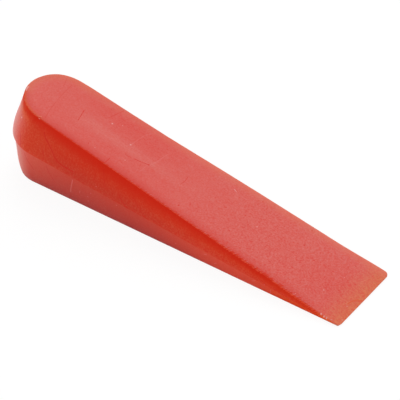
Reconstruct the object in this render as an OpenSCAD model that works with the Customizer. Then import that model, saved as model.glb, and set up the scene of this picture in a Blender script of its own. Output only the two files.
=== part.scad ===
// Tile wedge, moulded in one piece: a round thick end that tapers to a thin straight tip.
// It lies on its lower sloping face, with the round end towards -X and the tip towards +X.
// Both halves are drafted away from a parting line that runs round the piece at mid thickness.

/* [Wedge] */
// Length along the parting line, round end to tip
length = 32; // [24:0.5:48]
// Width across the parting line; the round end is a full half circle of this width
width = 7; // [5:0.1:12]

/* [Thickness] */
// Height of the upper half above the parting line, at the round end
upper_h = 3.75; // [1.5:0.05:6]
// Depth of the lower half below the parting line, at the round end
lower_h = 3.8; // [1.5:0.05:6]
// Height of the upper half at the tip
upper_tip_h = 0.04; // [0.02:0.01:0.4]
// Depth of the lower half at the tip
lower_tip_h = 0.12; // [0.02:0.01:0.4]

/* [Moulding] */
// Draft of the upper half's walls, in degrees
upper_draft = 12.5; // [0.5:0.1:14]
// Draft of the lower half's walls, in degrees
lower_draft = 10.5; // [0.5:0.1:14]
// How far the upper half stands proud of the lower one along the parting line
parting_step = 0.1; // [0.02:0.01:0.3]
// Radius of the two corners of the tip, seen from above
tip_corner_r = 0.35; // [0.1:0.05:1]

/* [Hidden] */
$fn = 96;

// Angle between the parting plane and the lower face, which lies level
lay_angle = atan((lower_h - lower_tip_h) / length);
// Height of the parting line above the ground at the round end's foremost point
parting_z = lower_h * cos(lay_angle);
// Length of the piece as it lies, from the round end to the tip's upper edge
lying_length = length * cos(lay_angle) + upper_tip_h * sin(lay_angle);
// Room that the cutting shapes have past the piece
clear = 2;

// Height of a sloping face above or below the parting plane, at a distance from the round end
function taper_at(x, end_h, tip_h) = end_h + (tip_h - end_h) * x / length;

// Half of a cone that stands on the parting plane, for the round end; its flat side faces +X
module half_cone(base_r, h, draft) {
    rotate([0, 0, 90])
        rotate_extrude(angle = 180)
            polygon([[0, 0], [base_r, 0], [base_r - h * tan(draft), h], [0, h]]);
}

// Straight bar with drafted sides, from the centre of the round end past the tip
module drafted_bar(base_r, bar_l, h, draft) {
    top_r = base_r - h * tan(draft);
    rotate([90, 0, 90])
        linear_extrude(height = bar_l)
            polygon([[-base_r, 0], [base_r, 0], [top_r, h], [-top_r, h]]);
}

// One half of the wedge standing on the parting plane, as high at the tip as at the round end
module drafted_half(inset, h, draft) {
    base_r = width / 2 - inset;
    translate([width / 2, 0, 0]) {
        half_cone(base_r, h, draft);
        drafted_bar(base_r, length - width / 2 + clear, h, draft);
    }
}

// Side view of the taper: two faces that run together towards the tip
module taper() {
    past_tip = length + clear;
    rotate([90, 0, 0])
        translate([0, 0, -width])
            linear_extrude(height = 2 * width)
                polygon([
                    [-clear, -taper_at(-clear, lower_h, lower_tip_h)],
                    [length, -lower_tip_h],
                    [past_tip, -lower_tip_h],
                    [past_tip, upper_tip_h],
                    [length, upper_tip_h],
                    [-clear, taper_at(-clear, upper_h, upper_tip_h)]
                ]);
}

// Plan of what is cut away past the tip, which leaves its two corners round
module past_tip() {
    corner_x = length - tip_corner_r;
    corner_y = width / 2 - tip_corner_r;
    difference() {
        translate([corner_x, -width])
            square([tip_corner_r + 2 * clear, 2 * width]);
        translate([corner_x - clear, -corner_y])
            square([tip_corner_r + clear, 2 * corner_y]);
        for (side = [-1, 1])
            translate([corner_x, side * corner_y])
                circle(r = tip_corner_r);
    }
}

// The whole wedge on its parting plane, with the foremost point of the round end at the origin
module wedge_on_parting_plane() {
    difference() {
        intersection() {
            union() {
                drafted_half(0, upper_h, upper_draft);
                mirror([0, 0, 1])
                    drafted_half(parting_step, lower_h, lower_draft);
            }
            taper();
        }
        translate([0, 0, -lower_h])
            linear_extrude(height = lower_h + upper_h)
                past_tip();
    }
}

// The wedge as it rests on its lower face, centred over the origin
module wedge() {
    color([0.84, 0.31, 0.26])
        translate([-lying_length / 2, 0, parting_z])
            rotate([0, lay_angle, 0])
                wedge_on_parting_plane();
}

wedge();
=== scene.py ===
"""Tile wedge moulded in translucent red plastic, lying on its lower face on a white studio floor.

The wedge is built in its own frame: along runs from the round end to the tip, across from the
near side to the far side, and above up from the parting plane. All sizes are in millimetres
there, and the finished mesh is laid on the ground in metres.
"""
import math
from functools import reduce
import bpy
from mathutils import Matrix, Quaternion, Vector, noise
from mathutils.geometry import delaunay_2d_cdt


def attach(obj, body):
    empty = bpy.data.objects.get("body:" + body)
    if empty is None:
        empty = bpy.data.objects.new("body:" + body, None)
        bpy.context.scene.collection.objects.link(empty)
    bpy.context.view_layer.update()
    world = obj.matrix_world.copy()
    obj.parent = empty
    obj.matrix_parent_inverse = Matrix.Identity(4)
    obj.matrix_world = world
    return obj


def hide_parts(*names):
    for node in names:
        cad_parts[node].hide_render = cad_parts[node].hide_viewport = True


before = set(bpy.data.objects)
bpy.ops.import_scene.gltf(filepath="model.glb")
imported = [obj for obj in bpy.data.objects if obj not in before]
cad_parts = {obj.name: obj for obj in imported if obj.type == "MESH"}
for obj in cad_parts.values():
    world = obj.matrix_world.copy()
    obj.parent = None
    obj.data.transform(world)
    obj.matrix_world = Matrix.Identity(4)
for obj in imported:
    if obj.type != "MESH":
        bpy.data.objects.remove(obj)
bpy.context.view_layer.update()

MM = 0.001

# Driving sizes of the wedge, as in its source
LENGTH = 32.0
WIDTH = 7.0
UPPER_H = 3.75
LOWER_H = 3.8
UPPER_TIP_H = 0.04
LOWER_TIP_H = 0.12
UPPER_DRAFT = math.tan(math.radians(12.5))
LOWER_DRAFT = math.tan(math.radians(10.5))
PARTING_STEP = 0.1

HALF_WIDTH = WIDTH / 2
UPPER_SLOPE = (UPPER_H - UPPER_TIP_H) / LENGTH
LOWER_SLOPE = (LOWER_H - LOWER_TIP_H) / LENGTH
LAY_ANGLE = math.atan(LOWER_SLOPE)

# Mesh detail: gaps between points in mm, steps round an arc, down a wall and over an edge, and
# the angle from which an edge is shaded sharp
STATION_GAP = 0.12
FACE_GAP = 0.1
UNDER_GAP = 0.17
ARC_STEPS = 6
WALL_LEVELS = 8
EDGE_STEPS = 3
SHARP_ANGLE = math.radians(30)

# The lattice that fills a face: its row spacing as a share of its gap, its room to the rim in
# mm and in gaps, what its triangulation keeps and how close points fall together
ROW_SPACING = 0.866
RIM_ROOM = 0.09
GAP_ROOM = 0.6
KEEP_INSIDE = 1
WELD = 1e-7

# Small roundings of the edges and of the rim at the parting plane, the share of a thin wall's
# height that they may take, how far a rounding's middle cuts its corner, as a share of it, and
# the gap in mm under which two points touch
EDGE_R = 0.02
EDGE_SHARE = 0.4
RIM_R = 0.02
RIM_SHARE = 0.3
CORNER_CUT = 0.3
TOUCHING = 1e-6

# Wear and unevenness: the tip's corners and its tucked lower edge
NEAR_CORNER_R = 0.38
FAR_CORNER_R = 0.38
TIP_TUCK = 0.07

# The curl of the upper face, and where along and across it starts and is full
TIP_LIFT = 0.085
LIFT_ALONG = (27.5, 32.0)
LIFT_ACROSS = (0.5, 3.5)

# The round end's walls: how far they bulge, how low, the worn rim and the lower half's undercut
HEAD_BELLY = 0.095
BELLY_DROP = 2.4
RIM_WEAR = 0.033
UNDERCUT = 0.04

# The nibbled edge of the textured faces: how far the outline may face the tip before it ends,
# its depth at the round end and past the middle, and its teeth
TIP_FACING = 0.5
HEAD_NIBBLE = 0.02
TIP_NIBBLE = 0.09
NIBBLE_GROWS = (9.0, 17.0)
LONG_TEETH_PER_MM = 2.6
SHORT_TEETH_PER_MM = 7.0
LONG_TEETH_SHARE = 0.8
LONG_TEETH_LAYER = 3.0
SHORT_TEETH_LAYER = 9.0

# The grain of the sloping faces: depths, scales, where along it gets stronger, its share at the
# round end and the margin over which it fades out at a rim
FINE_GRAIN = 0.004
FINE_PER_MM = 4.4
FINE_LAYER = 7.0
COARSE_GRAIN = 0.0025
COARSE_PER_MM = 1.1
COARSE_LAYER = 3.0
GRAIN_GROWS = (8.0, 22.0)
HEAD_GRAIN = 0.6
GRAIN_MARGIN = 0.3

# The shallow sink of the thick end: its depth, its end along and its middle and reach across
SINK = 0.035
SINK_END = 24.0
SINK_MIDDLE = 0.4
SINK_REACH = 1.5

# How far the far upper edge bows outwards in mm, at places along it
FAR_SWAY = (
    (0.8, 0.0),
    (0.95, -0.025),
    (1.2, 0.01),
    (1.8, 0.045),
    (3.0, 0.02),
    (4.5, 0.055),
    (8.0, -0.015),
    (12.0, -0.055),
    (17.0, 0.005),
    (20.0, 0.022),
    (24.0, 0.015),
    (28.0, -0.015),
    (31.0, 0.028),
    (32.0, 0.004),
)

# Nicks in the rim of the upper face: the share of the wall's height that one may take, how far
# it goes down the wall, and each one's place along and across, size and depth
NICK_SHARE = 0.3
NICK_DROP = 0.6
NICKS = (
    (0.84, -0.15, 0.6, 0.08),
    (1.04, -0.8, 0.14, 0.08),
    (1.11, -1.06, 0.12, 0.07),
    (3.72, -2.7, 0.12, 0.1),
    (16.75, -3.1, 0.1, 0.05),
    (24.4, -3.3, 0.1, 0.05),
    (25.5, -3.33, 0.1, 0.05),
)

# Light: the world's fill, and the softbox in metres and watts
WORLD_FILL = 0.62
SOFTBOX_PLACE = (-0.1, 0.35, 0.55)
SOFTBOX_SIZE = 0.5
SOFTBOX_POWER = 2.1

# Ground: half its side in metres, its paper, and how much of its white shows over its shadow
FLOOR_REACH = 3.0
PAPER = (0.95, 0.95, 0.95)
WHITE = (1, 1, 1)
PAPER_GLOW = 1.02
SEEN_SHARE = 0.9

# Camera: its angles, its distance and aim in mm, its lens and its clipping in metres
AZIMUTH = math.radians(35.33)
ELEVATION = math.radians(38.46)
ROLL = math.radians(-0.18)
DISTANCE = 151.03
AIM = Vector((1.054, 0.272, 2.512))
LENS = 180.0
SENSOR = 36.0
CLIP_START = 0.01
CLIP_END = 20.0


def progress(value, stretch):
    """0 before a stretch, 1 after it and the share of the way in it."""
    start, end = stretch
    return min(1.0, max(0.0, (value - start) / (end - start)))


def lay_matrix():
    """Turns the wedge onto its lower face and puts the middle of its box over the origin."""
    lying_length = LENGTH * math.cos(LAY_ANGLE) + UPPER_TIP_H * math.sin(LAY_ANGLE)
    place = Vector((-lying_length / 2, 0, LOWER_H * math.cos(LAY_ANGLE)))
    return Matrix.Translation(place) @ Matrix.Rotation(LAY_ANGLE, 4, "Y")


LAY = lay_matrix()


def laid(point):
    """A point of the wedge's own frame, in mm, as it lies on the ground, in metres."""
    return LAY @ point * MM


class Half:
    """The upper or the lower half of the wedge: its sloping face and its drafted wall.

    A station is a point of the outline in plan with its outward direction: x, y, out_x, out_y.
    """

    def __init__(self, side, height, slope, draft, inset):
        self.side = side
        self.height = height
        self.slope = slope
        self.draft = draft
        self.inset = inset

    def face_above(self, along):
        """Distance of the sloping face from the parting plane."""
        return self.height - self.slope * along

    def foot(self, station):
        """The wall's foot on the parting plane, at one station of the outline."""
        x, y, out_x, out_y = station
        if out_x > 0:
            limit = HALF_WIDTH - self.inset
            tuck = RIM_R if self.inset else 0
            return Vector((x - out_x * tuck, max(-limit, min(limit, y)), 0))
        return Vector((x - out_x * self.inset, y - out_y * self.inset, 0))

    def edge(self, station):
        """The sharp edge where the wall meets the sloping face, at one station."""
        foot = self.foot(station)
        out_x, out_y = station[2:]
        if out_x > 0:
            tuck = TIP_TUCK if self.side < 0 else 0.0
            x = foot.x - out_x * tuck
            rise = self.face_above(x)
            return Vector((x, foot.y - out_y * rise * self.draft, self.side * rise))
        rise = self.face_above(foot.x) / (1 - self.slope * out_x * self.draft)
        lean = rise * self.draft
        return Vector((foot.x - out_x * lean, foot.y - out_y * lean, self.side * rise))

    def inward(self, station):
        """Unit direction in the sloping face, square to its edge, pointing into the face."""
        out_x, out_y = station[2:]
        level = Vector((-out_x, -out_y, 0))
        return Vector((level.x, level.y, -self.side * self.slope * level.x)).normalized()


UPPER = Half(1, UPPER_H, UPPER_SLOPE, UPPER_DRAFT, 0)
LOWER = Half(-1, LOWER_H, LOWER_SLOPE, LOWER_DRAFT, PARTING_STEP)


def arc(centre_x, centre_y, radius, start, end):
    """Stations round an arc in plan, without its last point."""
    steps = max(ARC_STEPS, round(abs(end - start) * radius / STATION_GAP))
    turns = [start + (end - start) * i / steps for i in range(steps)]
    return [
        (centre_x + radius * math.cos(t), centre_y + radius * math.sin(t), math.cos(t), math.sin(t))
        for t in turns
    ]


def straight(start, end, out):
    """Stations along a straight side in plan, without its last point."""
    steps = round((Vector(end) - Vector(start)).length / STATION_GAP)
    points = [Vector(start).lerp(Vector(end), i / steps) for i in range(steps)]
    return [(p.x, p.y, out[0], out[1]) for p in points]


def outline():
    """Stations round the wedge's plan, anticlockwise from the far end of the round end."""
    near_x = LENGTH - NEAR_CORNER_R
    near_y = NEAR_CORNER_R - HALF_WIDTH
    far_x = LENGTH - FAR_CORNER_R
    far_y = HALF_WIDTH - FAR_CORNER_R
    quarter = math.pi / 2
    return (
        arc(HALF_WIDTH, 0, HALF_WIDTH, quarter, 3 * quarter)
        + straight((HALF_WIDTH, -HALF_WIDTH), (near_x, -HALF_WIDTH), (0, -1))
        + arc(near_x, near_y, NEAR_CORNER_R, -quarter, 0)
        + straight((LENGTH, near_y), (LENGTH, far_y), (1, 0))
        + arc(far_x, far_y, FAR_CORNER_R, 0, quarter)
        + straight((far_x, HALF_WIDTH), (HALF_WIDTH, HALF_WIDTH), (0, 1))
    )


def nick(point):
    """How deep a nick bites the rim of the upper face at a point of its edge."""
    depth = 0.0
    for x, y, size, bite in NICKS:
        gap = math.hypot(point.x - x, point.y - y)
        depth = max(depth, bite * math.exp(-((gap / size) ** 2)))
    return depth


def raggedness(station):
    """How far the textured face is nibbled back at its edge: more towards the middle and tip."""
    x, y, out_x = station[:3]
    if out_x > TIP_FACING:
        return 0.0
    deepest = HEAD_NIBBLE + (TIP_NIBBLE - HEAD_NIBBLE) * progress(x, NIBBLE_GROWS)
    long_teeth = noise.noise(Vector((x * LONG_TEETH_PER_MM, y, LONG_TEETH_LAYER)))
    short_teeth = noise.noise(Vector((x * SHORT_TEETH_PER_MM, y, SHORT_TEETH_LAYER)))
    return deepest * max(0.0, LONG_TEETH_SHARE * long_teeth + short_teeth)


def far_sway(along):
    """The bow of the far upper edge at one place along it."""
    for (start, first), (end, second) in zip(FAR_SWAY, FAR_SWAY[1:]):
        if start <= along <= end:
            return first + (second - first) * (along - start) / (end - start)
    return 0.0


def tip_lift(point):
    """The curl of the upper face towards the tip's far corner, straight up from the ground."""
    share = progress(point.x, LIFT_ALONG) * progress(point.y, LIFT_ACROSS)
    return Vector((-LOWER_SLOPE, 0, 1)) * TIP_LIFT * share


def edge_curve(half, station):
    """The rounded edge from the sloping face to the wall, three short steps with a nibble."""
    edge = half.edge(station)
    if half.side > 0 and edge.y > 0:
        edge = edge + Vector((min(0, station[2]), station[3], 0)) * far_sway(edge.x)
        edge = edge + tip_lift(edge)
    height = abs(edge.z)
    round_r = min(EDGE_R, EDGE_SHARE * height)
    dent = min(nick(edge), NICK_SHARE * height) if half.side > 0 else 0.0
    into_face = half.inward(station) * (round_r + raggedness(station) + dent)
    down_wall = (half.foot(station) - edge).normalized() * (round_r + NICK_DROP * dent)
    steps = [i / EDGE_STEPS for i in range(EDGE_STEPS + 1)]
    return [edge + into_face * (1 - s) ** 2 + down_wall * s**2 for s in steps]


def swell(share):
    """A soft bulge down a wall: 0 at both ends, 1 at three quarters of the way down."""
    return math.sin(math.pi * share**BELLY_DROP)


def section(station):
    """The wall's section at one station, from the upper face down to the lower face."""
    out = Vector((station[2], station[3], 0))
    top = edge_curve(UPPER, station)
    bottom = edge_curve(LOWER, station)
    forward = max(0.0, -station[2])
    rim = UPPER.foot(station) - out * RIM_WEAR * forward
    rim_r = min(RIM_R, RIM_SHARE * top[-1].z)
    rim_start = rim + (top[-1] - rim).normalized() * rim_r
    levels = [i / WALL_LEVELS for i in range(WALL_LEVELS + 1)]
    belly = out * HEAD_BELLY * forward
    upper = [top[-1].lerp(rim_start, s) + belly * swell(s) for s in levels][1:]
    cut = rim_r * CORNER_CUT
    under = [rim - out * cut + Vector((0, 0, cut)), rim - out * rim_r]
    foot = LOWER.foot(station) - out * UNDERCUT * forward
    if (foot - under[-1]).length < TOUCHING:
        foot = foot - out * RIM_R / 2
    lower = [foot.lerp(bottom[-1], s) + belly * swell(s) for s in levels][:-1]
    return top + upper + under + lower + bottom[::-1]


def grain_depth(point, side):
    """Depth of the spark-eroded grain and the slight sink of the thick end, inwards."""
    x, y = point.x, point.y
    fine = noise.noise(Vector((x * FINE_PER_MM, y * FINE_PER_MM, side * FINE_LAYER)))
    coarse = noise.noise(Vector((x * COARSE_PER_MM, y * COARSE_PER_MM, side * COARSE_LAYER)))
    strength = HEAD_GRAIN + (1 - HEAD_GRAIN) * progress(x, GRAIN_GROWS)
    grain = strength * (FINE_GRAIN * (fine + 1) + COARSE_GRAIN * (coarse + 1))
    thick = max(0.0, 1 - x / SINK_END)
    sink = SINK * thick * math.exp(-(((y - SINK_MIDDLE) / SINK_REACH) ** 2))
    return grain + sink


def edge_distance(point, half):
    """Distance in plan of a point of the sloping face from the face's edge."""
    rise = half.face_above(point.x)
    reach = HALF_WIDTH - half.inset - rise * half.draft
    if point.x < HALF_WIDTH:
        return reach - math.hypot(point.x - HALF_WIDTH, point.y)
    corner_r = NEAR_CORNER_R if point.y < 0 else FAR_CORNER_R
    past_x = point.x - (LENGTH - corner_r)
    past_y = abs(point.y) - (reach - corner_r)
    if past_x > 0 and past_y > 0:
        return corner_r - math.hypot(past_x, past_y)
    return min(reach - abs(point.y), LENGTH - point.x)


def fill_face(half, rim_ids, points, gap):
    """Fills a sloping face inside its rim: adds grained points and gives the triangles."""
    rim = [Vector((points[i].x, points[i].y)) for i in rim_ids]
    lattice = []
    row_gap = gap * ROW_SPACING
    room = EDGE_R + RIM_ROOM + GAP_ROOM * gap
    for row in range(int(WIDTH / row_gap)):
        y = -HALF_WIDTH + (row + 0.5) * row_gap
        shift = 0.5 * (row % 2)
        for column in range(int(LENGTH / gap)):
            spot = Vector(((column + 0.25 + shift) * gap, y))
            if edge_distance(spot, half) > room:
                lattice.append(spot)
    loop = list(range(len(rim)))
    net = delaunay_2d_cdt(rim + lattice, [], [loop], KEEP_INSIDE, WELD)
    flat, _, triangles, origins, _, _ = net
    ids = []
    for spot, origin in zip(flat, origins):
        if origin and origin[0] < len(rim):
            ids.append(rim_ids[origin[0]])
            continue
        margin = min(1.0, edge_distance(spot, half) / GRAIN_MARGIN)
        above = half.face_above(spot.x) - grain_depth(spot, half.side) * margin
        lift = tip_lift(spot) if half.side > 0 else Vector()
        points.append(Vector((spot.x, spot.y, half.side * above)) + lift)
        ids.append(len(points) - 1)
    turned = [[ids[i] for i in t] for t in triangles]
    return turned if half.side > 0 else [t[::-1] for t in turned]


def wedge_mesh():
    """The whole wedge as one closed mesh; material 0 is the textured faces, 1 the walls."""
    stations = outline()
    sections = [section(s) for s in stations]
    rows = len(sections[0])
    count = len(sections)
    points = [p for s in sections for p in s]
    walls = []
    for i in range(count):
        here = i * rows
        there = (i + 1) % count * rows
        for j in range(rows - 1):
            walls.append([here + j, here + j + 1, there + j + 1, there + j])
    top_rim = [i * rows for i in range(count)]
    under_rim = [i * rows + rows - 1 for i in range(count)]
    top = fill_face(UPPER, top_rim, points, FACE_GAP)
    under = fill_face(LOWER, under_rim, points, UNDER_GAP)
    mesh = bpy.data.meshes.new("wedge_body")
    mesh.from_pydata([laid(p) for p in points], [], walls + top + under)
    wall_ids = [0 if j < EDGE_STEPS else 1 for j in range(rows - 1)]
    finish_ids = wall_ids * count + [0] * (len(top) + len(under))
    mesh.polygons.foreach_set("material_index", finish_ids)
    mesh.polygons.foreach_set("use_smooth", [True] * len(mesh.polygons))
    mesh.update()
    mesh.set_sharp_from_angle(angle=SHARP_ANGLE)
    return mesh


class Link:
    """One output socket of a finish's node tree, so that shader maths reads as expressions."""

    def __init__(self, finish, socket):
        self.finish = finish
        self.socket = socket

    def maths(self, operation, first, second=0.0):
        """One Math node on values or links."""
        return self.finish.node("ShaderNodeMath", {"operation": operation}, {0: first, 1: second})

    def __add__(self, other):
        return self.maths("ADD", self, other)

    def __sub__(self, other):
        return self.maths("SUBTRACT", self, other)

    def __mul__(self, other):
        return self.maths("MULTIPLY", self, other)

    def __truediv__(self, other):
        return self.maths("DIVIDE", self, other)

    def __rsub__(self, other):
        return self.maths("SUBTRACT", other, self)

    __radd__ = __add__
    __rmul__ = __mul__

    def root(self):
        """The square root."""
        return self.maths("SQRT", self)

    def size(self):
        """The value without its sign."""
        return self.maths("ABSOLUTE", self)

    def at_least(self, other):
        """The higher of two values."""
        return self.maths("MAXIMUM", self, other)

    def at_most(self, other):
        """The lower of two values."""
        return self.maths("MINIMUM", self, other)

    def ramp(self, stretch):
        """0 before a stretch and 1 after it, with a soft passage between them."""
        start, end = stretch
        settings = {"interpolation_type": "SMOOTHSTEP"}
        inputs = {"Value": self, "From Min": start, "From Max": end}
        return self.finish.node("ShaderNodeMapRange", settings, inputs)

    def fade(self, stretch):
        """1 before a stretch and 0 after it, with a soft passage between them."""
        return 1 - self.ramp(stretch)

    def within(self, stretch):
        """Soft mask of a stretch, given as where it starts, is full, falls off and ends."""
        start, full, falling, end = stretch
        return self.ramp((start, full)) * self.fade((falling, end))


# Sockets of the colour Mix node and the Mix Shader node, by number because their names repeat
FACTOR = 0
FIRST_COLOUR = 6
SECOND_COLOUR = 7
MIXED_COLOUR = 2
FIRST_SHADER = 1
SECOND_SHADER = 2


class Finish:
    """The node tree of a material, or of the world, made by plain calls."""

    def __init__(self, owner, output_kind="ShaderNodeOutputMaterial"):
        owner.use_nodes = True
        self.owner = owner
        self.output_kind = output_kind
        self.tree = owner.node_tree
        self.tree.nodes.clear()

    def node(self, kind, settings=None, inputs=None, output=0):
        """Makes one node: its settings first, then the values or links of its sockets."""
        made = self.tree.nodes.new(kind)
        for name, value in (settings or {}).items():
            setattr(made, name, value)
        for key, value in (inputs or {}).items():
            socket = made.inputs[key]
            if isinstance(value, Link):
                self.tree.links.new(value.socket, socket)
            elif socket.type == "RGBA":
                socket.default_value = (*value, 1)
            else:
                socket.default_value = value
        return Link(self, made.outputs[output]) if made.outputs else None

    def mix(self, factor, first, second):
        """Colour mix: first where factor is 0, second where it is 1."""
        inputs = {FACTOR: factor, FIRST_COLOUR: first, SECOND_COLOUR: second}
        return self.node("ShaderNodeMix", {"data_type": "RGBA"}, inputs, MIXED_COLOUR)

    def mix_shaders(self, factor, first, second):
        """Shader mix: first where factor is 0, second where it is 1."""
        inputs = {FACTOR: factor, FIRST_SHADER: first, SECOND_SHADER: second}
        return self.node("ShaderNodeMixShader", None, inputs)

    def vector(self, operation, first, second, output="Vector"):
        """Vector maths; the output Value is the number that a dot product or a distance gives."""
        return self.node("ShaderNodeVectorMath", {"operation": operation}, {0: first, 1: second}, output)

    def noise(self, where, scale, detail=2.0, roughness=0.5):
        """Soft noise from 0 to 1, with features of about 1 / scale."""
        inputs = {"Vector": where, "Scale": scale, "Detail": detail, "Roughness": roughness}
        return self.node("ShaderNodeTexNoise", None, inputs)

    def wedge_frame(self):
        """The surface point in the wedge's own frame, in mm: vector, along, across, above."""
        place = self.node("ShaderNodeTexCoord", None, None, "Object")
        back = LAY.inverted()
        inputs = {
            "Vector": place,
            "Location": back.translation,
            "Rotation": back.to_euler(),
            "Scale": (1 / MM,) * 3,
        }
        own = self.node("ShaderNodeMapping", {"vector_type": "POINT"}, inputs)
        parts = [self.node("ShaderNodeSeparateXYZ", None, {"Vector": own}, axis) for axis in "XYZ"]
        return own, *parts

    def marked(self, spot, *kinds):
        """How strongly marks of these kinds show at a spot: the strongest one counts."""
        return reduce(Link.at_least, [kind.strength_at(self, spot) for kind in kinds])

    def shade(self, shader):
        """Ends the tree with the given shader."""
        self.node(self.output_kind, None, {"Surface": shader})
        return self.owner


class Marks:
    """Marks of one kind: their places, their width in mm and how strongly they show.

    Each kind has a core, which shows in full, as a share of its width.
    """

    def __init__(self, *places, width, strength):
        self.places = places
        self.width = width
        self.strength = strength

    def strength_at(self, finish, spot):
        """The full strength in the core of a mark, and 0 from half its width away."""
        gap = reduce(Link.at_most, [self.gap(finish, spot, place) for place in self.places])
        return gap.fade((self.core * self.width, 0.5 * self.width)) * self.strength


class Specks(Marks):
    """Round specks, each at its point."""

    core = 0.25

    def gap(self, finish, spot, point):
        """Distance from the speck's middle."""
        return finish.vector("DISTANCE", spot, (*point, 0), "Value")


class Strokes(Marks):
    """Fine lines, each through its points."""

    core = 0.2

    def gap(self, finish, spot, points):
        """Distance from the line through the points."""
        runs = zip(points, points[1:])
        return reduce(Link.at_most, [self.run_gap(finish, spot, *run) for run in runs])

    def run_gap(self, finish, spot, start, end):
        """Distance from the straight run between two points."""
        run = Vector((*end, 0)) - Vector((*start, 0))
        offset = finish.vector("SUBTRACT", spot, (*start, 0))
        share = finish.vector("DOT_PRODUCT", offset, run / run.length_squared, "Value")
        inputs = {0: run, "Scale": share.at_least(0).at_most(1)}
        nearest = finish.node("ShaderNodeVectorMath", {"operation": "SCALE"}, inputs)
        return finish.vector("DISTANCE", offset, nearest, "Value")


# Colours of the textured face, as linear light
FACE_DEEP = (0.678, 0.026, 0.014)
FACE_PALE = (0.720, 0.215, 0.184)
# Painted shade along the near edge of the face
NEAR_EDGE_RED = (0.607, 0.014, 0.001)
# Painted light along the far edge of the face, which is lit from behind
FAR_EDGE_PALE = (0.728, 0.175, 0.104)
FAR_HEAD_PALE = (0.690, 0.158, 0.078)
HEAD_RIM_RED = (0.660, 0.085, 0.008)
TIP_DEEP = (0.672, 0.085, 0.020)
TIP_PALE = (0.712, 0.226, 0.102)
TOOTH_RED = (0.670, 0.034, 0.012)
FOLD_RED = (0.655, 0.012, 0.003)
FOLD_PALE = (0.820, 0.460, 0.440)
FOLD_ORANGE = (0.690, 0.070, 0.002)
NICK_TAN = (0.770, 0.300, 0.160)

# Colours of the upper wall
GLOW_RED = (0.775, 0.023, 0.005)
HEAD_GLOW = (0.790, 0.036, 0.001)
TIP_GLOW = (0.790, 0.036, 0.007)
# Red of the upper wall, brighter towards the thin tip as a painted glow of light through it
WALL_RED = (0.780, 0.034, 0.005)
WALL_TIP = (0.860, 0.058, 0.010)
# Paler red towards the seam: a painted reflection of the white floor
SEAM_RED = (0.700, 0.044, 0.018)
SEAM_TIP = (0.800, 0.052, 0.018)
HEAD_RED = (0.790, 0.055, 0.013)
HEAD_FRONT = (0.885, 0.060, 0.016)
HEAD_ORANGE = (0.880, 0.083, 0.008)
HEAD_GLEAM = (0.890, 0.132, 0.085)
SPILL_PINK = (0.940, 0.135, 0.068)
# Orange red of the tip's last mm on both walls, brightened as a painted glow of light through it
TIP_STRIP = (0.940, 0.135, 0.035)
TIP_CORNER = (0.840, 0.270, 0.170)

# Colours of the lower wall
LOWER_RED = (0.715, 0.044, 0.015)
# Plum towards the ground: painted shade
LOWER_PLUM = (0.560, 0.035, 0.024)
LOWER_HEAD = (0.805, 0.091, 0.048)
LOWER_GLEAM = (0.845, 0.155, 0.106)
# Brighter red towards the thin tip: a painted glow of light through it
LOWER_MIDDLE = (0.860, 0.069, 0.025)
LOWER_TIP = (0.940, 0.072, 0.004)
UNDER_EDGE = (0.420, 0.026, 0.018)

# Colours of the marks on both walls
WALL_HAZE = (0.840, 0.200, 0.115)
WALL_DEEP = (0.740, 0.010, 0.003)
FLOW_DEEP = (0.670, 0.012, 0.004)
CURL_DEEP = (0.740, 0.012, 0.004)
SCRATCH_PALE = (1.000, 0.395, 0.365)

# Marks on the upper face, as along and across in mm
DARK_FOLDS = Strokes(
    ((5.62, 0.44), (5.78, -0.1), (5.97, -0.75)),
    ((11.5, -0.9), (12.0, -0.79), (12.4, -0.66), (12.67, -0.58)),
    width=0.1,
    strength=0.9,
)
DARK_TICK = Strokes(((10.16, -2.2), (10.19, -2.87)), width=0.1, strength=0.85)
TIP_FOLD = Strokes(
    ((31.3, -1.15), (31.38, -0.85), (31.5, -0.52), (31.66, -0.33), (31.96, -0.2)),
    width=0.11,
    strength=0.75,
)
LIGHT_FOLDS = Strokes(
    ((7.8, 2.65), (7.63, 2.0), (7.48, 1.35)),
    ((10.69, -0.88), (10.78, -1.03), (11.3, -0.97)),
    ((15.5, 0.58), (15.6, 0.12), (15.57, -0.45)),
    ((8.03, -2.1), (8.12, -2.25)),
    width=0.1,
    strength=0.6,
)
SOFT_FOLDS = Strokes(
    ((3.22, 1.9), (3.37, 0.5), (3.56, -0.5), (3.76, -1.4), (4.08, -2.45)),
    ((2.5, 2.2), (2.88, 1.35)),
    ((8.8, 2.65), (8.5, 2.0), (8.3, 1.1)),
    ((7.48, 1.35), (7.3, 0.95)),
    width=0.11,
    strength=0.31,
)
PALE_FOLDS = Strokes(
    ((10.8, 2.2), (10.55, 1.7), (10.46, 1.0), (10.43, 0.15)),
    ((13.0, 1.35), (12.94, 0.85), (12.84, -0.1), (12.75, -0.5)),
    ((12.6, -0.75), (12.6, -1.65)),
    ((20.95, -1.45), (21.25, -1.25)),
    width=0.12,
    strength=0.075,
)
NICK_LIP = Strokes(((3.56, -2.76), (3.8, -2.54)), width=0.12, strength=0.42)
TINY_SCRATCH = Strokes(((18.77, 2.12), (19.03, 2.04)), width=0.1, strength=0.4)
# A pale scuff on the nicked rim of the round end, with a painted highlight along it
RIM_SCUFF_AND_HIGHLIGHT = Strokes(
    ((1.02, -0.72), (1.05, -0.88), (1.09, -1.02), (1.16, -1.14)),
    width=0.17,
    strength=0.55,
)
PALE_SPECKS = Specks(
    (8.02, 0.9),
    (10.4, 0.11),
    (30.39, -3.42),
    (30.68, -3.47),
    (30.9, -3.46),
    width=0.16,
    strength=0.65,
)
CLEAR_SPECKS = Specks(
    (22.2, 0.21),
    (29.28, -1.38),
    width=0.14,
    strength=0.48,
)
FAINT_SPECKS = Specks(
    (8.71, 1.31),
    (11.1, -1.53),
    (8.69, -2.15),
    (27.97, -3.18),
    (31.25, -3.34),
    (31.4, -1.46),
    (31.85, -2.8),
    (29.73, 0.77),
    width=0.14,
    strength=0.3,
)
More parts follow.
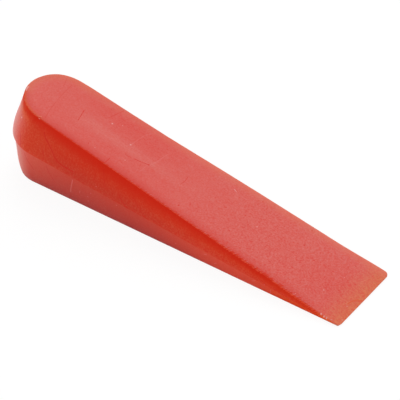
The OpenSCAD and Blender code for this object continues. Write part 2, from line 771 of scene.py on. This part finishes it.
DARK_SPECKS = Specks(
    (17.3, -1.6),
    (19.4, 0.12),
    (20.94, -1.65),
    (23.4, 0.12),
    (24.88, -1.98),
    (25.8, 1.28),
    (27.16, 0.54),
    (25.4, 2.94),
    (21.06, 2.65),
    (29.75, 2.3),
    (30.1, -0.6),
    width=0.19,
    strength=0.6,
)
# Dark specks, and a painted shadow in the nick on the near edge by the round end
DEEP_SPECKS_AND_NICK_SHADOW = Specks(
    (12.65, -0.59),
    (16.75, -2.33),
    (3.77, -2.67),
    width=0.2,
    strength=0.85,
)

# Marks on the near wall, as along and above in mm
DARK_CURL = Strokes(
    (
        (4.45, 2.4),
        (4.63, 2.04),
        (5.12, 1.6),
        (5.44, 1.29),
        (5.8, 0.88),
        (6.19, 0.63),
        (6.63, 0.53),
        (7.7, 0.53),
    ),
    width=0.13,
    strength=0.8,
)
PALE_SCRATCH = Strokes(
    ((7.66, -0.38), (7.5, -1.03), (7.38, -1.65), (7.34, -2.0)),
    width=0.13,
    strength=0.23,
)
DEEP_FLOW_LINES = Strokes(
    ((2.22, 1.03), (2.28, 0.9), (2.5, 0.15)),
    ((2.85, -0.46), (3.06, -1.03), (3.69, -1.78)),
    ((12.13, 0.6), (12.56, 0.23), (12.95, 0.04)),
    ((5.06, -0.46), (5.3, -1.2), (5.8, -1.9)),
    width=0.14,
    strength=0.55,
)
FAINT_FLOW_LINES = Strokes(
    ((4.69, 0.9), (4.9, 0.16)),
    ((10.25, 2.0), (10.75, 0.6)),
    ((13.3, 1.1), (14.0, 0.48), (14.56, 0.1)),
    width=0.13,
    strength=0.35,
)
WALL_STROKES = Strokes(
    ((20.05, -0.48), (20.25, -0.3)),
    ((20.95, -0.9), (21.15, -0.7)),
    ((24.4, -0.42), (24.65, -0.15)),
    ((26.0, -0.7), (25.98, -0.3)),
    width=0.12,
    strength=0.17,
)
WALL_SPECKS = Specks(
    (8.29, -1.28),
    (8.25, -1.46),
    (9.06, -1.4),
    (9.05, -1.9),
    (9.38, -0.78),
    (10.94, -2.28),
    (9.94, 0.38),
    (13.44, -0.03),
    (11.88, -0.46),
    (17.4, -1.1),
    (23.05, -0.95),
    (25.5, 0.05),
    width=0.14,
    strength=0.25,
)
WHITE_CHIPS = Specks(
    (1.95, 2.21),
    (3.78, 3.27),
    (30.42, 0.19),
    (30.68, 0.12),
    (30.9, 0.12),
    width=0.15,
    strength=1.0,
)

# The plastic itself: how far red, green and blue light travels in it in mm, and how much does
SUBSURFACE_REACH = (0.5, 0.15, 0.08)
SUBSURFACE_SHARE = 0.15

# Its gloss: on the matte face, where the grain adds to its roughness, where it is smooth, and in
# the clear coat that stands for its polish
MATT_ROUGHNESS = 0.5
GRAIN_ROUGHNESS = 0.1
MATT_SPECULAR = 0.2
SMOOTH_ROUGHNESS = 0.45
SMOOTH_SPECULAR = 0.05
COAT_ROUGHNESS = 0.4

# Relief: its depth in mm where a height goes from 0 to 1, its strength on the face and on the
# walls, and the depth of the folds and of the curl as shares of it
RELIEF = 0.01
FACE_RELIEF = 0.3
WALL_RELIEF = 0.15
FOLD_DEPTH = 0.8
CURL_DEPTH = 0.75

# Fine patterns, with their scales to a mm
GRAIN_PER_MM = 7.0
TEETH_PER_MM = 10.5
TEETH_SLANT = 0.7
TEETH_STRETCH = 0.25
FACE_BRUSHING = (0.12, 1, 0.1)
WALL_DRAWING = (1, 1, 0.25)

# The matte face: how pale it is on average and at most, a paleness that is partly a painted sheen, and
# how far its orange tint scatters
BLOOM = 0.38
BLOOM_LIMIT = 1.5
TINT_SCATTER = 4.0

# Patches of the matte face in mm, as where they start, are full, fall off and end
# A painted highlight: a soft reflection along the near slope of the sink
SHEEN_STRIPE_ACROSS = (-1.2, -0.5, -0.2, 0.5)
SHEEN_STRIPE_ALONG = (4.5, 7, 9, 20)
# Painted shade in a lane on the far slope of the sink
SHADED_LANE_ACROSS = (0.6, 1.3, 1.8, 2.6)
SHADED_LANE_ALONG = (4, 7, 11, 16)
BRUSHED_ALONG = (4, 7, 13, 18)
DIP_ALONG = (6.5, 9, 12.5, 15)
TIP_DIP_ALONG = (26.5, 28.5, 30, 31)
FAINT_FAR_EDGE = (4, 6, 10, 14)
DEEP_TEETH = (20, 22, 25, 28)

# Passages across and along the matte face in mm
NEAR_SIDE = (-1.5, -0.7)
FAR_SIDE = (0.4, 1.2)
MIDDLE_STRIP = (1, 3)
HEAD_PALE = (0.5, 3.5)
HEAD_SPECKLE = (1, 5)
MIDDLE_PALE = (15, 17)
TIP_SPECKLE = (13, 24)
FAR_TIP_PALE = (23, 25)
ORANGE_TIP = (29.6, 32.6)
FAR_EDGE_PALES = (2, 20)
RED_EDGE_GROWS = (3, 7)
RED_EDGE_EASES = (12, 19)
RED_EDGE_ENDS = (27.5, 31.5)
HEAD_RIM_ENDS = (2.5, 5)
FLECKS_GROW = (9, 15)
TEETH_GROW = (12, 19)
TEETH_END = (28, 31)

# Passages inwards from the edge of the matte face in mm
NARROW_BORDER = (0, 0.25)
WIDE_BORDER = (0.05, 0.95)
HEAD_RIM_WIDTH = (0, 0.34)
FLECK_WIDTH = (0.03, 0.18)

# Levels of noise between which a mark comes out
WORN_FOLDS = (0.38, 0.55)
PALE_FLECKS = (0.32, 0.44)
SMOOTH_TEETH = (0.44, 0.6)
SPILL_TEETH = (0.4, 0.56)

# The glow under the upper edge of the wall, in mm below it, and how ragged its border is
GLOW_START = 0.2
GLOW_END = 1.3
GLOW_RAGGED = 0.35

# Passages along the walls in mm
THICK_END = (2, 8)
GLOW_LOWERED = (4, 8, 10, 18)
GLOW_NARROWS = (14, 26)
WALL_PALES = (12, 28)
SEAM_PALES = (12, 22)
SPECKLE_GROWS = (12, 24)
LOWER_HEAD_END = (1.5, 3)
LOWER_PALES = (13, 24)
LOWER_SHADE = (2.5, 5, 17, 23)
COAT_THINS = (23, 28)
TIP_PART = (24, 29)
TIP_STRIP_START = (29.8, 30.8)
TIP_CORNER_START = (31.35, 31.65)

# How the pale spill over the near upper edge grows along it: its reach in mm, and where it grows
SPILL_REACH = 0.05
SPILL_GROWTH = ((0.03, (8, 14)), (0.065, (17, 24)), (0.1, (26, 29)))
SPILL_SOFT = 0.04
SPILL_RIM = (0.0, 0.12)

# Passages down the upper wall in mm, or as a share of the way down to the seam or the ground
ORANGE_DEPTH = (0.2, 0.5, 0.8, 1.5)
GLEAM_DEPTH = (0.3, 2.6)
MATT_DEPTH = (0.2, 1.6)
SEAM_SHARE = (0.4, 0.95)
LOWER_GLEAM_SHARE = (0.65, 1.1)
LOWER_SHADE_SHARE = (0.72, 1.0)

# Passages round the head, from 0 where its wall faces sideways to 1 where it faces foremost
FRONT = (0.0, 0.6)
FRONT_MIDDLE = (0.4, 0.75)
GLOW_LOWERED_ROUND = (0.1, 0.5)
GLOW_NARROWS_ROUND = (0.0, 0.35)
GLEAM_ROUND = (0.35, 0.72)
LOWER_GLEAM_ROUND = (0.05, 0.55)
COAT_ROUND = (0.05, 0.65)

# Passages from one side of the wedge to the other in mm, for what only one of them has
FACE_SIDES = (-0.01, 0.01)
WALL_HALVES = (-0.005, 0.005)
MARK_HALVES = (-0.1, 0.1)
NEAR_WALL = (-0.5, 0.5)


def plastic(finish, colour, roughness, specular, coat, bump):
    """The translucent red plastic's shader."""
    inputs = {
        "Base Color": colour,
        "Roughness": roughness,
        "Specular IOR Level": specular,
        "Subsurface Weight": SUBSURFACE_SHARE,
        "Subsurface Radius": SUBSURFACE_REACH,
        "Subsurface Scale": MM,
        "Coat Weight": coat,
        "Coat Roughness": COAT_ROUGHNESS,
        "Normal": bump,
    }
    return finish.node("ShaderNodeBsdfPrincipled", {"subsurface_method": "RANDOM_WALK"}, inputs)


def bump_of(finish, height, strength):
    """A fine relief that follows the height."""
    inputs = {"Strength": strength, "Distance": RELIEF * MM, "Height": height}
    return finish.node("ShaderNodeBump", None, inputs)


def eroded_grain(finish, own):
    """The fine grain of the mould, from 0 to 1."""
    return finish.noise(own, GRAIN_PER_MM, detail=3.0, roughness=0.7)


def edge_teeth(finish, along, across, above):
    """Noise in fine slanting streaks that cross the near upper edge."""
    slant = along - TEETH_SLANT * (across + above)
    where = finish.node("ShaderNodeCombineXYZ", None, {"X": slant, "Y": across * TEETH_STRETCH})
    return finish.noise(where, TEETH_PER_MM, detail=1.0)


def face_bloom(finish, own, along, across, grain):
    """How pale the matte face is from place to place: grain and mottling under a painted sheen, a
    painted highlight along a strip and painted shade in a lane beside it.
    """
    mottle = finish.noise(own, scale=0.8) - 0.5
    blotch = finish.noise(own, scale=1.7, detail=1.0) - 0.5
    drawn_out = finish.vector("MULTIPLY", own, FACE_BRUSHING)
    streak = finish.noise(drawn_out, scale=4.0) - 0.5
    hairline = finish.noise(drawn_out, scale=10.0) - 0.5
    speckled = 0.82 + 0.12 * along.fade(HEAD_SPECKLE) + 0.75 * along.ramp(TIP_SPECKLE)
    # Painted highlight along a strip, and painted shade in a lane beside it
    sheen_stripe = across.within(SHEEN_STRIPE_ACROSS) * along.within(SHEEN_STRIPE_ALONG)
    lane = across.within(SHADED_LANE_ACROSS) * along.within(SHADED_LANE_ALONG)
    dip = along.within(DIP_ALONG)
    tip_dip = along.within(TIP_DIP_ALONG) * across.size().fade(MIDDLE_STRIP)
    far_pale = across.ramp(FAR_SIDE) * along.ramp(FAR_TIP_PALE)
    brushed = streak * along.within(BRUSHED_ALONG)
    head_pale = along.fade(HEAD_PALE)
    middle_pale = along.ramp(MIDDLE_PALE)
    noisy = 0.1 * mottle + 0.08 * blotch + 0.18 * brushed + 0.3 * hairline * sheen_stripe
    lighter = 0.16 * sheen_stripe + 0.03 * far_pale + 0.08 * head_pale + 0.02 * middle_pale
    darker = 0.06 * lane + 0.04 * dip + 0.06 * tip_dip
    bloom = BLOOM + (grain - 0.5) * speckled + noisy + lighter - darker
    return bloom.at_least(0).at_most(BLOOM_LIMIT)


def face_marks(finish, own, flat, colour):
    """Folds and specks on the upper face: the marked colour and the depth of the folds."""
    worn = 0.6 + 0.4 * finish.noise(own, scale=3.5).ramp(WORN_FOLDS)
    folds = finish.marked(flat, DARK_FOLDS, LIGHT_FOLDS, SOFT_FOLDS) * worn
    dark = folds.at_least(finish.marked(flat, DARK_SPECKS, DEEP_SPECKS_AND_NICK_SHADOW, DARK_TICK))
    specks = finish.marked(flat, FAINT_SPECKS, CLEAR_SPECKS, PALE_SPECKS)
    pale = specks.at_least(finish.marked(flat, PALE_FOLDS, TINY_SCRATCH, RIM_SCUFF_AND_HIGHLIGHT))
    colour = finish.mix(dark, colour, FOLD_RED)
    colour = finish.mix(finish.marked(flat, TIP_FOLD), colour, FOLD_ORANGE)
    colour = finish.mix(finish.marked(flat, NICK_LIP), colour, NICK_TAN)
    return finish.mix(pale, colour, FOLD_PALE), dark


def textured_face_finish():
    """The spark-eroded matte finish of the two sloping faces."""
    finish = Finish(bpy.data.materials.new("textured_face"))
    own, along, across, above = finish.wedge_frame()
    flat = finish.vector("MULTIPLY", own, (1, 1, 0))
    grain = eroded_grain(finish, own)
    teeth = edge_teeth(finish, along, across, above)
    from_centre = (along - HALF_WIDTH).at_most(0)
    radial = (from_centre * from_centre + across * across).root()
    edge = HALF_WIDTH - above.size() * UPPER_DRAFT - radial
    near = across.fade(NEAR_SIDE)
    upper = above.ramp(FACE_SIDES)

    orange = (along + (grain - 0.5) * TINT_SCATTER).ramp(ORANGE_TIP)
    deep = finish.mix(orange, FACE_DEEP, TIP_DEEP)
    pale = finish.mix(orange, FACE_PALE, TIP_PALE)
    colour = finish.mix(face_bloom(finish, own, along, across, grain), deep, pale)
    border = 0.2 * edge.fade(NARROW_BORDER) + 0.5 * edge.fade(WIDE_BORDER)
    redness = 0.75 + 0.25 * along.ramp(RED_EDGE_GROWS) - 0.2 * along.ramp(RED_EDGE_EASES)
    # Painted shade along the near edge, broken up by the teeth
    near_edge_shade = border * near * redness * along.fade(RED_EDGE_ENDS)
    colour = finish.mix(near_edge_shade * (0.75 + 0.5 * teeth), colour, NEAR_EDGE_RED)
    # Painted light along the far edge of the face
    far_edge_light = border * (1 - near) * (1 - 0.35 * along.within(FAINT_FAR_EDGE))
    far_edge = finish.mix(along.ramp(FAR_EDGE_PALES), FAR_HEAD_PALE, FAR_EDGE_PALE)
    colour = finish.mix(far_edge_light, colour, far_edge)
    head_rim = 0.75 * edge.fade(HEAD_RIM_WIDTH) * near * along.fade(HEAD_RIM_ENDS)
    colour = finish.mix(head_rim, colour, HEAD_RIM_RED)

    fleck = teeth.fade(PALE_FLECKS) * edge.fade(FLECK_WIDTH) * near * along.ramp(FLECKS_GROW)
    colour = finish.mix(0.22 * fleck, colour, FOLD_PALE)
    marked, fold = face_marks(finish, own, flat, colour)
    colour = finish.mix(upper, colour, marked)
    bump = bump_of(finish, grain - upper * fold * FOLD_DEPTH, FACE_RELIEF)
    roughness = MATT_ROUGHNESS + GRAIN_ROUGHNESS * grain
    face = plastic(finish, colour, roughness, MATT_SPECULAR, 0.0, bump)
    smooth = plastic(finish, TOOTH_RED, SMOOTH_ROUGHNESS, SMOOTH_SPECULAR, 0.0, bump)

    bite = teeth.ramp(SMOOTH_TEETH) * (0.09 + 0.1 * along.ramp(TEETH_GROW))
    bite = (bite + 0.04 * along.within(DEEP_TEETH)) * along.fade(TEETH_END)
    tooth = edge.fade((bite - 0.04, bite + 0.02)) * near * (0.9 - 0.54 * along.ramp(TEETH_END))
    return finish.shade(finish.mix_shaders(tooth, face, smooth))


def upper_wall_colour(finish, along, depth, rise, head, foremost, thick, band):
    """Red that glows deep under the upper edge, paler at the seam with a painted reflection of the white
    floor, paler at the head with a painted gleam, and paler at the thin tip with a painted glow of light
    through it.
    """
    # Painted glow towards the thin tip, then a painted reflection of the floor towards the seam
    colour = finish.mix(along.ramp(WALL_PALES), WALL_RED, WALL_TIP)
    seam = finish.mix(along.ramp(SEAM_PALES), SEAM_RED, SEAM_TIP)
    colour = finish.mix((depth / rise).ramp(SEAM_SHARE), colour, seam)
    colour = finish.mix(thick, colour, HEAD_RED)
    colour = finish.mix(foremost, colour, HEAD_FRONT)
    colour = finish.mix(foremost * depth.within(ORANGE_DEPTH), colour, HEAD_ORANGE)
    colour = finish.mix(head.ramp(GLEAM_ROUND) * depth.ramp(GLEAM_DEPTH), colour, HEAD_GLEAM)
    glow = finish.mix(foremost, GLOW_RED, HEAD_GLOW)
    glow = finish.mix(along.ramp(TIP_PART), glow, TIP_GLOW)
    return finish.mix(band, colour, glow)


def lower_wall_colour(finish, along, fall, head, thick):
    """Duller red that turns plum towards the ground as painted shade, paler at the head, and paler
    towards the thin tip with a painted glow of light through it.
    """
    # Painted shade towards the ground
    colour = finish.mix(fall, LOWER_RED, LOWER_PLUM)
    head_pale = thick * (1 - fall * (0.7 - 0.3 * along.fade(LOWER_HEAD_END)))
    colour = finish.mix(head_pale, colour, LOWER_HEAD)
    gleam = 0.85 * head.ramp(LOWER_GLEAM_ROUND) * fall.fade(LOWER_GLEAM_SHARE)
    colour = finish.mix(gleam, colour, LOWER_GLEAM)
    # Painted glow of light through the thinner part towards the tip
    colour = finish.mix(along.ramp(LOWER_PALES), colour, LOWER_MIDDLE)
    colour = finish.mix(along.ramp(TIP_PART), colour, LOWER_TIP)
    shade = 0.35 * fall.ramp(LOWER_SHADE_SHARE) * along.within(LOWER_SHADE)
    return finish.mix(shade, colour, UNDER_EDGE)


def wall_marks(finish, along, across, above, colour):
    """Curl, flow lines, scratch and specks on the near wall: the marked colour and the curl."""
    side_view = finish.node("ShaderNodeCombineXYZ", None, {"X": along, "Y": above})
    near = across.fade(NEAR_WALL)
    curl = finish.marked(side_view, DARK_CURL) * near
    flow = finish.marked(side_view, DEEP_FLOW_LINES, FAINT_FLOW_LINES) * near
    pale = finish.marked(side_view, PALE_SCRATCH, WALL_STROKES, WALL_SPECKS, WHITE_CHIPS) * near
    deep = finish.mix(above.ramp(MARK_HALVES), FLOW_DEEP, CURL_DEEP)
    colour = finish.mix(curl.at_least(flow), colour, deep)
    return finish.mix(pale, colour, SCRATCH_PALE), curl


def wall_finish():
    """The smoother drafted walls, which glow where light leaks out under the upper face."""
    finish = Finish(bpy.data.materials.new("drafted_wall"))
    own, along, across, above = finish.wedge_frame()
    upper = above.ramp(WALL_HALVES)
    drawn_out = finish.vector("MULTIPLY", own, WALL_DRAWING)
    drawn = finish.noise(drawn_out, scale=6.0, detail=3.0, roughness=0.6) - 0.5
    speckle = eroded_grain(finish, own) - 0.5
    relief = finish.noise(own, scale=4.0, detail=3.0) + finish.noise(own, scale=0.7)
    teeth = edge_teeth(finish, along, across, above)

    rise = UPPER_H - along * UPPER_SLOPE
    depth = rise - above
    fall = (0 - above) / (LOWER_H - along * LOWER_SLOPE)
    from_centre = (HALF_WIDTH - along).at_least(0)
    head = from_centre / (from_centre * from_centre + across * across).root()
    foremost = head.ramp(FRONT)
    front_middle = head.ramp(FRONT_MIDDLE)
    thick = along.fade(THICK_END)

    raised = 0.2 * front_middle
    lowered = 0.15 * along.within(GLOW_LOWERED) + 0.18 * head.ramp(GLOW_LOWERED_ROUND)
    narrowed = 0.45 * along.ramp(GLOW_NARROWS) + 0.2 * along.ramp(TIP_PART)
    narrowed = narrowed + 0.5 * head.ramp(GLOW_NARROWS_ROUND)
    glow_start = GLOW_START + lowered - raised
    glow_end = GLOW_END - narrowed - raised
    band = (depth + drawn * GLOW_RAGGED).fade((glow_start, glow_end))
    high = upper_wall_colour(finish, along, depth, rise, head, foremost, thick, band)
    low = lower_wall_colour(finish, along, fall, head, thick)
    colour = finish.mix(upper, low, high)

    clear = 1 - 0.85 * band * upper
    haze = drawn * (0.3 + 0.3 * thick) * clear
    colour = finish.mix(haze.at_least(0), colour, WALL_HAZE)
    speckled = 0.3 + 0.3 * foremost + 0.5 * along.ramp(SPECKLE_GROWS)
    speckle = speckle * clear * (0.8 + upper * speckled)
    colour = finish.mix(speckle.at_least(0), colour, WALL_HAZE)
    colour = finish.mix((speckle * -2.2).at_least(0), colour, WALL_DEEP)

    reach = SPILL_REACH
    for growth, stretch in SPILL_GROWTH:
        reach = reach + growth * along.ramp(stretch)
    reach = reach * teeth.fade(SPILL_TEETH)
    spill = depth.fade((reach * 0.5, reach + SPILL_SOFT)) * reach.ramp((0.0, SPILL_SOFT)) * 0.75
    spill = spill.at_least(depth.fade(SPILL_RIM) * 0.35) * (1 - foremost)
    colour = finish.mix(spill, colour, SPILL_PINK)
    # Painted glow of light through the tip's last mm
    colour = finish.mix(along.ramp(TIP_STRIP_START), colour, TIP_STRIP)
    colour = finish.mix(along.ramp(TIP_CORNER_START), colour, TIP_CORNER)
    colour, curl = wall_marks(finish, along, across, above, colour)

    matt_band = band * (1 - 0.05 * foremost)
    matt_top = foremost * (depth + 0.25 * front_middle).fade(MATT_DEPTH)
    high_coat = (0.16 + 0.78 * head.ramp(COAT_ROUND)) * (1 - matt_band) * (1 - matt_top)
    low_coat = 0.25 * (1 - 0.8 * along.ramp(COAT_THINS)) + 0.45 * foremost * (1 - 0.7 * fall)
    coat = upper * high_coat + (1 - upper) * low_coat
    bump = bump_of(finish, relief - curl * CURL_DEPTH, WALL_RELIEF)
    return finish.shade(plastic(finish, colour, SMOOTH_ROUGHNESS, SMOOTH_SPECULAR, coat, bump))


def seen_directly(finish):
    """1 for rays from the camera, and for those that show the ground in a gloss or through it."""
    kinds = ("Is Camera Ray", "Is Glossy Ray", "Is Transmission Ray")
    rays = [finish.node("ShaderNodeLightPath", None, None, kind) for kind in kinds]
    return reduce(Link.at_least, rays)


def floor_finish():
    """White paper: diffuse for the light, near white as seen, with the shadow kept."""
    finish = Finish(bpy.data.materials.new("white_paper"))
    paper = finish.node("ShaderNodeBsdfDiffuse", None, {"Color": PAPER})
    white = finish.node("ShaderNodeEmission", None, {"Color": WHITE, "Strength": PAPER_GLOW})
    return finish.shade(finish.mix_shaders(seen_directly(finish) * SEEN_SHARE, paper, white))


def make_wedge():
    """The wedge in place of its plain solid, with the textured faces' finish and the walls'."""
    wedge = bpy.data.objects.new("wedge_body", wedge_mesh())
    bpy.context.scene.collection.objects.link(wedge)
    wedge.data.materials.append(textured_face_finish())
    wedge.data.materials.append(wall_finish())
    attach(wedge, "root")
    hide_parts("wedge")


def make_floor():
    """The plain white ground."""
    reach = FLOOR_REACH
    corners = [(-reach, -reach, 0), (reach, -reach, 0), (reach, reach, 0), (-reach, reach, 0)]
    mesh = bpy.data.meshes.new("floor")
    mesh.from_pydata(corners, [], [(0, 1, 2, 3)])
    floor = bpy.data.objects.new("floor", mesh)
    bpy.context.scene.collection.objects.link(floor)
    floor.data.materials.append(floor_finish())


def make_world():
    """An even white studio: plain fill light, and white where it is seen."""
    sky = Finish(bpy.data.worlds.new("studio"), "ShaderNodeOutputWorld")
    fill = sky.node("ShaderNodeBackground", None, {"Color": WHITE, "Strength": WORLD_FILL})
    white = sky.node("ShaderNodeBackground", None, {"Color": WHITE, "Strength": 1.0})
    bpy.context.scene.world = sky.shade(sky.mix_shaders(seen_directly(sky), fill, white))


def make_softbox(name, place, size, power):
    """A square softbox that faces the wedge."""
    lamp = bpy.data.lights.new(name, "AREA")
    lamp.size = size
    lamp.energy = power
    box = bpy.data.objects.new(name, lamp)
    box.location = place
    box.rotation_mode = "QUATERNION"
    box.rotation_quaternion = (-Vector(place)).to_track_quat("-Z", "Y")
    bpy.context.scene.collection.objects.link(box)


def make_camera():
    """A camera with a long lens, above the near side and a little towards the tip."""
    back = Vector((
        math.sin(AZIMUTH) * math.cos(ELEVATION),
        -math.cos(AZIMUTH) * math.cos(ELEVATION),
        math.sin(ELEVATION),
    ))
    lens = bpy.data.cameras.new("camera")
    lens.lens = LENS
    lens.sensor_width = SENSOR
    lens.clip_start = CLIP_START
    lens.clip_end = CLIP_END
    camera = bpy.data.objects.new("camera", lens)
    camera.location = (AIM + back * DISTANCE) * MM
    camera.rotation_mode = "QUATERNION"
    camera.rotation_quaternion = (-back).to_track_quat("-Z", "Y") @ Quaternion((0, 0, 1), ROLL)
    bpy.context.scene.collection.objects.link(camera)
    bpy.context.scene.camera = camera


make_wedge()
make_floor()
make_world()
make_softbox("overhead_softbox", SOFTBOX_PLACE, SOFTBOX_SIZE, SOFTBOX_POWER)
make_camera()
bpy.context.scene.view_settings.view_transform = "Standard"
